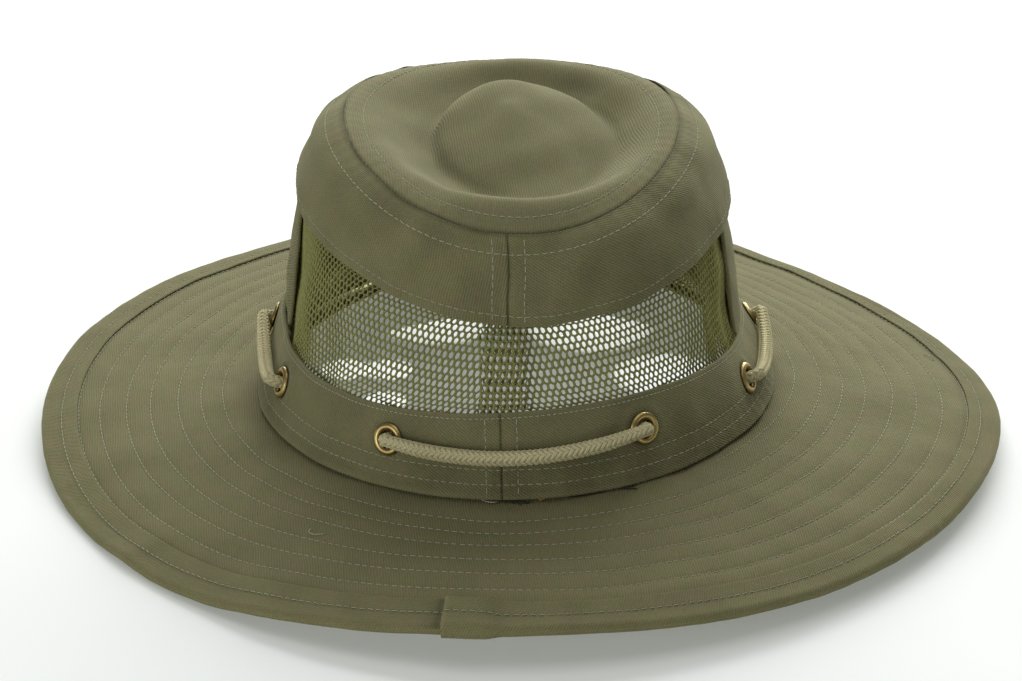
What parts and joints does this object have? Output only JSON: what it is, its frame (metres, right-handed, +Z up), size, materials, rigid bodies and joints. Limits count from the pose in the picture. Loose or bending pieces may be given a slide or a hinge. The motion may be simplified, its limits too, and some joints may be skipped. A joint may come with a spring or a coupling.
{
  "type": "bush hat",
  "caption": "Olive cotton twill bush hat with a wide stitched brim, a net crown band and a braided cord laced through brass eyelets.",
  "frame": {"origin": "on the floor under the middle of the brim", "axes": "+Z up, +Y towards the front of the hat, +X towards the wearer's right"},
  "size_m": [0.3408, 0.3652, 0.1202],
  "materials": {
    "twill": "matt cotton twill, stitched with pale green thread",
    "netting": "matt knitted net",
    "cord": "matt cotton braid",
    "brass": "worn satin brass"
  },
  "bodies": {
    "root": {"crown_tip": "twill", "upper_band": "twill", "mesh_band": "netting", "lower_band": "twill", "side_tab_right": "twill", "side_tab_left": "twill", "brim": "twill", "brim_binding": "twill", "eyelet_1": "brass", "eyelet_2": "brass", "eyelet_3": "brass", "eyelet_4": "brass", "eyelet_5": "brass", "eyelet_6": "brass", "eyelet_7": "brass", "eyelet_8": "brass", "band_cord": "cord"}
  },
  "joints": []
}
